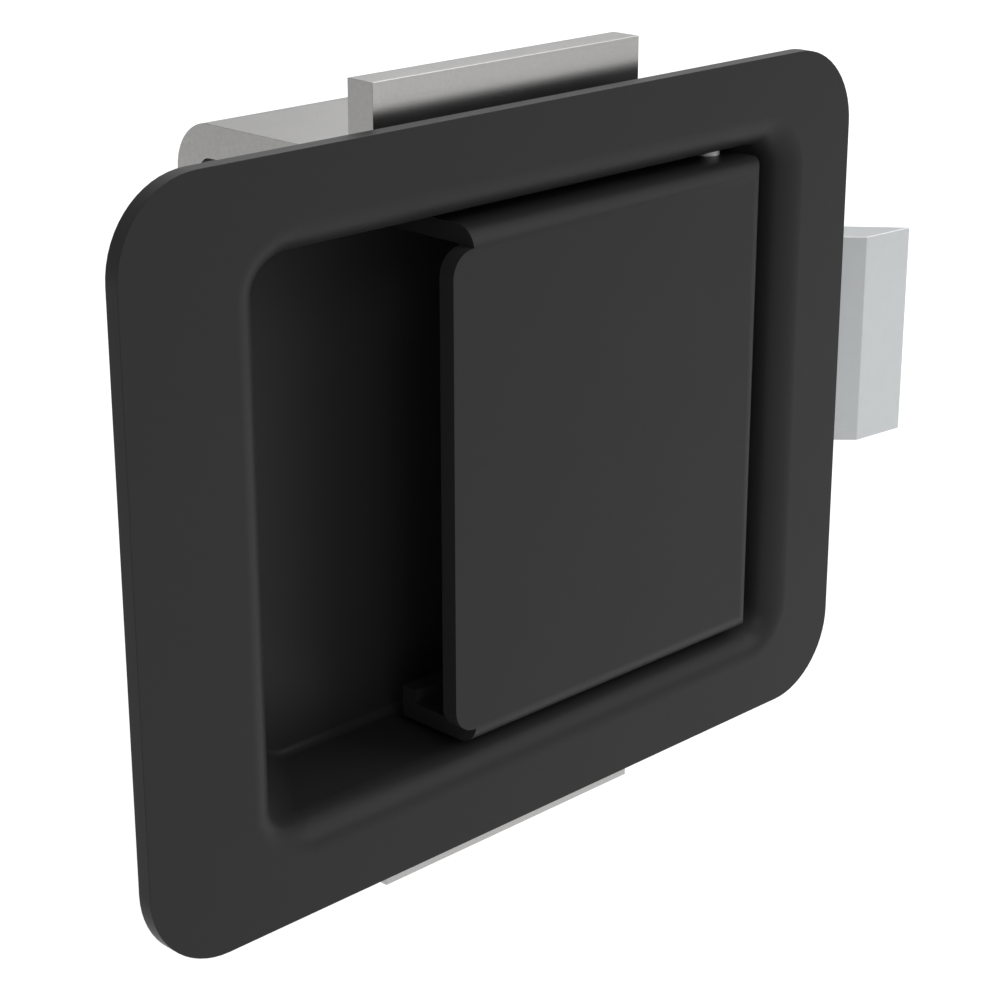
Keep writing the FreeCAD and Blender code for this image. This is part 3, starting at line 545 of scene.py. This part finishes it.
def threaded_rod_tree():
    """A rod about Z from the origin up with a V thread and a chamfered tip."""
    tree = new_tree("threaded_rod", [
        ("Length", "NodeSocketFloat", 0.03),
        ("Radius", "NodeSocketFloat", 0.003),
        ("Pitch", "NodeSocketFloat", 0.001),
        ("Depth", "NodeSocketFloat", 0.0005),
        ("Chamfer", "NodeSocketFloat", 0.0008),
        ("Material", "NodeSocketMaterial", None),
    ])
    given = add_node(tree, "NodeGroupInput").outputs
    turns = add_node(tree, "ShaderNodeMath", {0: given["Length"], 1: given["Pitch"]}, operation="DIVIDE")
    rings = add_node(tree, "ShaderNodeMath", {0: turns, 1: RINGS_PER_PITCH}, operation="MULTIPLY")
    bar = add_node(tree, "GeometryNodeMeshCylinder", {
        "Vertices": POINTS_PER_RING, "Side Segments": rings,
        "Radius": given["Radius"], "Depth": given["Length"]})
    place = add_node(tree, "GeometryNodeInputPosition")
    xyz = add_node(tree, "ShaderNodeSeparateXYZ", {0: place}).outputs
    height = add_node(tree, "ShaderNodeMath", {
        0: given["Length"], 1: 0.5, 2: xyz["Z"]}, operation="MULTIPLY_ADD")
    angle = add_node(tree, "ShaderNodeMath", {0: xyz["Y"], 1: xyz["X"]}, operation="ARCTAN2")
    part_turn = add_node(tree, "ShaderNodeMath", {0: angle, 1: math.tau}, operation="DIVIDE")
    pitches = add_node(tree, "ShaderNodeMath", {0: height, 1: given["Pitch"]}, operation="DIVIDE")
    phase = add_node(tree, "ShaderNodeMath", {0: pitches, 1: part_turn}, operation="SUBTRACT")
    wave = add_node(tree, "ShaderNodeMath", {0: phase, 1: 0.5}, operation="PINGPONG")
    full_depth = add_node(tree, "ShaderNodeMath", {0: given["Depth"], 1: 2.0}, operation="MULTIPLY")
    groove = add_node(tree, "ShaderNodeMath", {0: wave, 1: full_depth}, operation="MULTIPLY")
    thread = add_node(tree, "ShaderNodeMath", {0: given["Radius"], 1: groove}, operation="SUBTRACT")
    to_tip = add_node(tree, "ShaderNodeMath", {0: given["Length"], 1: height}, operation="SUBTRACT")
    tip_r = add_node(tree, "ShaderNodeMath", {
        0: given["Radius"], 1: given["Chamfer"]}, operation="SUBTRACT")
    lead_in = add_node(tree, "ShaderNodeMath", {0: tip_r, 1: to_tip}, operation="ADD")
    radius = add_node(tree, "ShaderNodeMath", {0: thread, 1: lead_in}, operation="MINIMUM")
    share = add_node(tree, "ShaderNodeMath", {0: radius, 1: given["Radius"]}, operation="DIVIDE")
    inward = add_node(tree, "ShaderNodeVectorMath", {0: place, "Scale": share}, operation="SCALE")
    across = add_node(tree, "ShaderNodeSeparateXYZ", {0: inward}).outputs
    moved = add_node(tree, "ShaderNodeCombineXYZ", {"X": across["X"], "Y": across["Y"], "Z": height})
    cut = add_node(tree, "GeometryNodeSetPosition", {"Geometry": bar, "Position": moved})
    smooth = add_node(tree, "GeometryNodeSetShadeSmooth", {"Geometry": cut, "Shade Smooth": True})
    close_tree(tree, smooth, given["Material"])
    return tree


thread_tree = threaded_rod_tree()
print(len(thread_tree.nodes), "nodes")

# %% Studs
for level in ("top", "bottom"):
    node = "weld_stud_" + level
    low, high = node_box(node)
    middle = (low + high) / 2
    stand = Matrix.Translation((middle.x, low.y, middle.z)) @ Matrix.Rotation(-math.pi / 2, 4, "X")
    stud = piece_from_tree(node + "_thread", thread_tree, {
        "Length": high.y - low.y,
        "Radius": (high.z - low.z) / 2,
        "Pitch": 1.0 * MM,
        "Depth": 0.55 * MM,
        "Chamfer": 0.8 * MM,
        "Material": zinc_on_fixings,
    }, turn=stand)
    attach(stud, "tray")
    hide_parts(node)

# %% [markdown]
# ## Domed rivets
# Four rivets hold the bolt's housing on the tray. Each is the same turned shape, a shank with a domed
# head at both ends, so it is turned once and then placed on points, one for each rivet. Four copies by
# hand would do too, but a tree keeps them alike when the shape is changed. The dome is part of a ball,
# low and wide, as a riveting tool forms it.

# %% The rivet that is repeated
RIVET_COLUMNS = 28
DOME_STEPS = 6


def turned_rivet(shank_r, head_r, head, length):
    """A rivet about Z, centred on the sheets that it joins, with a domed head at each end."""
    ball_r = (head_r ** 2 + head ** 2) / (2 * head)
    cap = [(ball_r * math.sin(a), length / 2 + head - ball_r + ball_r * math.cos(a))
           for a in [math.asin(head_r / ball_r) * i / DOME_STEPS for i in range(DOME_STEPS + 1)]]
    profile = cap + [(shank_r, length / 2), (shank_r, -length / 2)] + [(r, -z) for r, z in reversed(cap)]
    build = bmesh.new()
    columns = []
    for index in range(RIVET_COLUMNS):
        a = math.tau * index / RIVET_COLUMNS
        columns.append([build.verts.new((r * math.cos(a), r * math.sin(a), z)) for r, z in profile])
    for index in range(RIVET_COLUMNS):
        here, there = columns[index], columns[(index + 1) % RIVET_COLUMNS]
        for step in range(len(profile) - 1):
            build.faces.new((here[step], here[step + 1], there[step + 1], there[step]))
    bmesh.ops.remove_doubles(build, verts=build.verts, dist=MERGE_MM * MM)
    bmesh.ops.recalc_face_normals(build, faces=build.faces)
    mesh = bpy.data.meshes.new("turned_rivet")
    build.to_mesh(mesh)
    build.free()
    print("rivet", len(mesh.polygons), "faces")
    return mesh


# %% The tree that places rivets
def placed_tree():
    """The given object placed on every point of the input mesh, turned by the given angles."""
    tree = new_tree("placed_on_points", [
        ("Piece", "NodeSocketObject", None),
        ("Turn", "NodeSocketVector", (0.0, 0.0, 0.0)),
        ("Smooth Below", "NodeSocketFloat", 0.6),
        ("Material", "NodeSocketMaterial", None),
    ])
    given = add_node(tree, "NodeGroupInput").outputs
    model = add_node(tree, "GeometryNodeObjectInfo", {"Object": given["Piece"]})
    placed = add_node(tree, "GeometryNodeInstanceOnPoints", {
        "Points": given["Geometry"], "Instance": model.outputs["Geometry"], "Rotation": given["Turn"]})
    real = add_node(tree, "GeometryNodeRealizeInstances", {"Geometry": placed})
    edge = add_node(tree, "GeometryNodeInputMeshEdgeAngle")
    sharp = add_node(tree, "FunctionNodeCompare", {
        0: edge, 1: given["Smooth Below"]}, operation="GREATER_THAN")
    smooth = add_node(tree, "GeometryNodeSetShadeSmooth", {
        "Geometry": real, "Shade Smooth": True})
    marked = add_node(tree, "GeometryNodeStoreNamedAttribute", {
        "Geometry": smooth, "Name": "sharp_edge", "Value": sharp}, data_type="BOOLEAN", domain="EDGE")
    close_tree(tree, marked, given["Material"])
    return tree


rivet_tree = placed_tree()
print(len(rivet_tree.nodes), "nodes")

# %% Rivets
RIVETS = ["rivet_top_left", "rivet_bottom_left", "rivet_top_right", "rivet_bottom_right"]
HEAD_MM = 1.4
SHANK_R_MM = 2.0
spots = []
for node in RIVETS:
    low, high = node_box(node)
    spots.append((low + high) / 2)
grip = high.y - low.y - 2 * HEAD_MM * MM  # all four are alike, so the last one gives the size
rivet_mesh = turned_rivet(SHANK_R_MM * MM, (high.x - low.x) / 2, HEAD_MM * MM, grip)
rivet_model = bpy.data.objects.new("rivet_model", rivet_mesh)
bpy.context.collection.objects.link(rivet_model)
rivets = piece_from_tree("housing_rivets", rivet_tree, {
    "Piece": rivet_model,
    "Turn": (math.pi / 2, 0.0, 0.0),
    "Material": zinc_on_fixings,
}, points=spots)
bpy.data.objects.remove(rivet_model)
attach(rivets, "tray")
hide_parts(*RIVETS)

# %% [markdown]
# ## Camera
# The photograph was taken from the left and a little above, with a long lens, level with the horizon. The
# camera's place and focal length come from matching the flange's four straight edges and their rounded
# corners.

# %% Camera
LENS_MM = 89.98
SENSOR_MM = 36.0
CAMERA_PLACE = (-0.24781, -0.24368, 0.12201)
VIEW_DIRECTION = (0.66455, 0.66455, -0.3417)
camera_data = bpy.data.cameras.new("camera")
camera_data.lens = LENS_MM
camera_data.sensor_width = SENSOR_MM
camera = bpy.data.objects.new("camera", camera_data)
camera.location = CAMERA_PLACE
camera.rotation_euler = Vector(VIEW_DIRECTION).to_track_quat("-Z", "Y").to_euler()
bpy.context.collection.objects.link(camera)
bpy.context.scene.camera = camera
print("camera lens in mm:", round(camera_data.lens, 2))

# %% [markdown]
# ## Floor and light
# The latch is shown by itself on a pale floor with no hard shadow. The floor lies well below it, and it
# is also what the black coat and the zinc reflect. A large soft lamp hangs over the floor behind the
# latch, and a smaller one stands in front on the right, so the faces that look left come out darker than
# those that look forward or up. A third, small lamp above on the left reaches into the recess and draws
# the glints along the rounded edges.

# %% Floor
FLOOR_DROP = 0.16  # from the latch's lowest point
FLOOR_REACH = 12.0  # the camera sees nothing past its edge
level = solids_low.z - FLOOR_DROP
corners = [(x * FLOOR_REACH, y * FLOOR_REACH, level) for x, y in ((-1, -1), (1, -1), (1, 1), (-1, 1))]
floor_mesh = bpy.data.meshes.new("floor")
floor_mesh.from_pydata(corners, [], [(0, 1, 2, 3)])
floor = bpy.data.objects.new("floor", floor_mesh)
bpy.context.collection.objects.link(floor)
pale = bpy.data.materials.new("pale_matt_floor")
pale.use_nodes = True
paint = pale.node_tree.nodes["Principled BSDF"]
paint.inputs["Base Color"].default_value = linear("f4f4f4")
paint.inputs["Roughness"].default_value = 0.9
paint.inputs["Specular IOR Level"].default_value = 0.0
floor_mesh.materials.append(pale)
print("floor in mm:", round(level * 1000, 1))

# %% Room and lamps
ROOM_LIGHT = 0.55
world = bpy.data.worlds.new("white_room")
bpy.context.scene.world = world
world.use_nodes = True
air = world.node_tree.nodes["Background"]
air.inputs["Color"].default_value = (1.0, 1.0, 1.0, 1.0)
air.inputs["Strength"].default_value = ROOM_LIGHT


def soft_lamp(name, place, aim, size, power):
    """A square area lamp that points at a place."""
    data = bpy.data.lights.new(name, "AREA")
    data.shape = "SQUARE"
    data.size = size
    data.energy = power
    lamp = bpy.data.objects.new(name, data)
    lamp.location = place
    lamp.rotation_euler = (Vector(aim) - Vector(place)).to_track_quat("-Z", "Y").to_euler()
    bpy.context.collection.objects.link(lamp)


soft_lamp("lamp_over_the_floor",
          place=(1.57, 1.03, 1.81), aim=(0.86, 0.83, -0.2), size=2.84, power=50.9)
soft_lamp("lamp_in_front",
          place=(0.85, -1.09, 0.85), aim=(0.1, -0.1, -0.1), size=1.19, power=11.5)
soft_lamp("lamp_above_on_the_left",
          place=(-0.5, -1.15, 1.0), aim=(0.0, 0.0, 0.0), size=0.45, power=3.2)
bpy.context.scene.view_settings.view_transform = "Standard"
